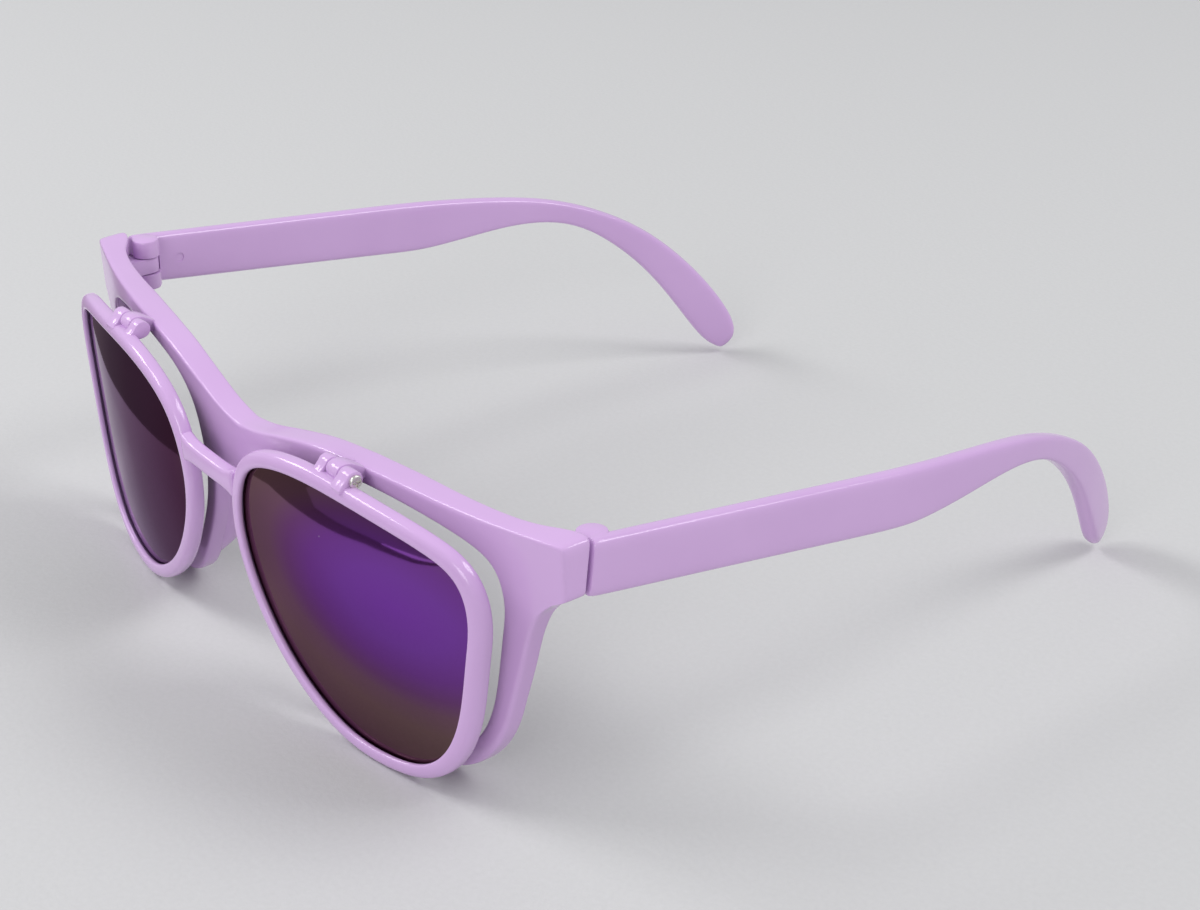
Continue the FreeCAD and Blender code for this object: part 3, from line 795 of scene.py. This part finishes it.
class Finish:
    """A material with its shader, its place on the piece and the shared surface marks"""

    def __init__(self, name, marks, scales):
        self.material = bpy.data.materials.new(name)
        self.material.use_nodes = True
        self.nodes = self.material.node_tree.nodes
        self.links = self.material.node_tree.links
        self.shader = self.nodes["Principled BSDF"]
        self.place = self.nodes.new("ShaderNodeTexCoord").outputs["Object"]
        self.marks = self.nodes.new("ShaderNodeGroup")
        self.marks.node_tree = marks
        for socket, scale in zip(("Cloud Scale", "Grain Scale", "Dust Scale"), scales):
            self.marks.inputs[socket].default_value = scale
        self.links.new(self.place, self.marks.inputs["Vector"])

    def mixed(self, share, first, second):
        """A colour between two, each a colour or another node's output"""
        mix = self.nodes.new("ShaderNodeMix")
        mix.data_type = "RGBA"
        self.links.new(share, mix.inputs["Factor"])
        for number, colour in zip(mix_colours, (first, second)):
            socket = mix.inputs[number]
            if isinstance(colour, tuple):
                socket.default_value = (*colour, 1)
            else:
                self.links.new(colour, socket)
        return mix.outputs[mix_result]

    def ranged(self, value, low, high):
        span = self.nodes.new("ShaderNodeMapRange")
        span.inputs["To Min"].default_value = low
        span.inputs["To Max"].default_value = high
        self.links.new(value, span.inputs["Value"])
        return span.outputs["Result"]

    def coloured(self, colour):
        self.links.new(colour, self.shader.inputs["Base Color"])

    def glossed(self, gloss):
        self.links.new(self.ranged(self.marks.outputs["Cloud"], *gloss), self.shader.inputs["Roughness"])

    def grained(self, height):
        bump = self.nodes.new("ShaderNodeBump")
        bump.inputs["Distance"].default_value = height * MM
        self.links.new(self.marks.outputs["Grain"], bump.inputs["Height"])
        self.links.new(bump.outputs["Normal"], self.shader.inputs["Normal"])


def make_lilac(marks):
    """Lilac moulding: clouded a little, glossy, with a faint flow grain and specks of dust"""
    finish = Finish("lilac_moulding", marks, lilac_marks)
    body = finish.mixed(finish.marks.outputs["Cloud"], lilac_deep, lilac_light)
    finish.coloured(finish.mixed(finish.marks.outputs["Dust"], body, dust_white))
    finish.glossed(plastic_gloss)
    finish.grained(lilac_grain)
    return finish.material


def mirror_colour(finish):
    """The coating's colour, by distance from its bluest spot"""
    offset = finish.nodes.new("ShaderNodeVectorMath")
    offset.operation = "SUBTRACT"
    offset.inputs[1].default_value = [length * MM for length in mirror_spot]
    finish.links.new(finish.place, offset.inputs[0])
    flat = finish.nodes.new("ShaderNodeVectorMath")
    flat.operation = "MULTIPLY"
    flat.inputs[1].default_value = mirror_rate
    finish.links.new(offset.outputs["Vector"], flat.inputs[0])
    reach = finish.nodes.new("ShaderNodeVectorMath")
    reach.operation = "LENGTH"
    finish.links.new(flat.outputs["Vector"], reach.inputs[0])
    share = finish.nodes.new("ShaderNodeMapRange")
    share.inputs["From Max"].default_value = mirror_reach * MM
    finish.links.new(reach.outputs["Value"], share.inputs["Value"])
    bands = finish.nodes.new("ShaderNodeValToRGB")
    stops = bands.color_ramp.elements
    while len(stops) < len(mirror_bands):
        stops.new(1)
    for stop, (distance, colour) in zip(stops, mirror_bands):
        stop.position = distance / mirror_reach
        stop.color = (*colour, 1)
    finish.links.new(share.outputs["Result"], bands.inputs["Fac"])
    return bands.outputs["Color"]


def lens_back(finish):
    """One on the faces that look backward, zero in front"""
    facing = finish.nodes.new("ShaderNodeSeparateXYZ")
    finish.links.new(finish.place.node.outputs["Normal"], facing.inputs["Vector"])
    behind = finish.nodes.new("ShaderNodeMath")
    behind.operation = "GREATER_THAN"
    behind.inputs[1].default_value = 0
    finish.links.new(facing.outputs["Y"], behind.inputs[0])
    return behind.outputs["Value"]


def make_mirror(marks):
    """Mirror coating, running from blue violet through magenta and brown to silver, on a dark brown lens"""
    finish = Finish("violet_mirror", marks, mirror_marks)
    coating = mirror_colour(finish)
    behind = lens_back(finish)
    sides = finish.mixed(behind, coating, lens_back_brown)
    finish.coloured(finish.mixed(finish.marks.outputs["Dust"], sides, dust_white))
    finish.glossed(mirror_gloss)
    finish.links.new(finish.ranged(behind, 1, 0), finish.shader.inputs["Metallic"])
    finish.shader.inputs["Specular Tint"].default_value = (*mirror_edge_tint, 1)
    return finish.material


def make_clear(marks):
    """Clear polished sheet with a faint haze"""
    finish = Finish("clear_sheet", marks, clear_marks)
    finish.coloured(finish.mixed(finish.marks.outputs["Cloud"], clear_tint, clear_haze))
    finish.glossed(clear_gloss)
    finish.shader.inputs["Alpha"].default_value = clear_cover
    return finish.material


def make_steel(marks):
    """Plated screw steel, a little uneven"""
    finish = Finish("plated_steel", marks, steel_marks)
    finish.coloured(finish.mixed(finish.marks.outputs["Cloud"], steel_dull, steel_bright))
    finish.glossed(steel_gloss)
    finish.grained(steel_grain)
    finish.shader.inputs["Metallic"].default_value = 1
    return finish.material


def make_floor_paper(marks):
    """Pale sheet with a fine tooth"""
    finish = Finish("pale_floor", marks, floor_marks)
    finish.coloured(finish.mixed(finish.marks.outputs["Grain"], floor_deep, floor_light))
    finish.glossed(floor_gloss)
    finish.grained(floor_grain)
    return finish.material


def add_lamp(name, place, size, power):
    lamp = bpy.data.lights.new(name, "AREA")
    lamp.energy = power
    lamp.size = size
    lit = bpy.data.objects.new(name, lamp)
    bpy.context.scene.collection.objects.link(lit)
    lit.location = place
    lit.rotation_euler = (-lit.location).to_track_quat("-Z", "Y").to_euler()


def add_card(marks, order, name, deep, light, corners):
    """A flat card over the floor, each a little higher than the one before, seen only in reflections, where
    its colour is painted shade or a painted highlight in the mirrors
    """
    card = finished(started(name, [Vector((x, y, card_lift * order)) for x, y in corners], "NGON"))
    card.visible_camera = False
    card.visible_diffuse = False
    card.visible_shadow = False
    finish = Finish(name, marks, card_marks)
    finish.coloured(finish.mixed(finish.marks.outputs["Cloud"], deep, light))
    card.data.materials.append(finish.material)
    return card


def add_stage(marks):
    deselect()
    bpy.ops.mesh.primitive_plane_add(size=floor_size)
    floor = bpy.context.object
    floor.name = "floor"
    floor.data.materials.append(make_floor_paper(marks))
    [add_card(marks, order + 1, *card) for order, card in enumerate(cards)]
    world = bpy.data.worlds.new("world")
    bpy.context.scene.world = world
    world.use_nodes = True
    sky = world.node_tree.nodes["Background"]
    sky.inputs["Color"].default_value = (*sky_colour, 1)
    sky.inputs["Strength"].default_value = sky_strength
    bpy.context.scene.view_settings.view_transform = "Standard"
    for lamp in lamps:
        add_lamp(*lamp)


# Camera, stage and finishes.
marks = marks_group()
add_camera()
add_stage(marks)
lilac = make_lilac(marks)
mirror = make_mirror(marks)
clear = make_clear(marks)
steel = make_steel(marks)

# Pieces, each in the place of its CAD node. The screws keep their CAD shape.
settled(make_flip_front(), "flip_frame", "flip", lilac)
settled(make_front(), "front_frame", "front", lilac)
temple = make_temple()
settled(other_side(temple, "right_temple"), "temple_right", "temple_right", lilac)
settled(temple, "temple_left", "temple_left", lilac)
lens_pairs = [
    ("flip_lens", flip_curve(), flip_y, flip_lens_face, "flip", "mirror_lens", mirror),
    ("clear_lens", front_curve(), front_y, clear_lens_face, "front", "clear_lens", clear),
]
for node, curve, front, face, body, finish, material in lens_pairs:
    lens = make_lens("left_" + finish, curve, front, face)
    settled(other_side(lens, "right_" + finish), node + "_right", body, material)
    settled(lens, node + "_left", body, material)
for name, node in frame["nodes"].items():
    if "screw" in name:
        node.data.materials.clear()
        node.data.materials.append(steel)
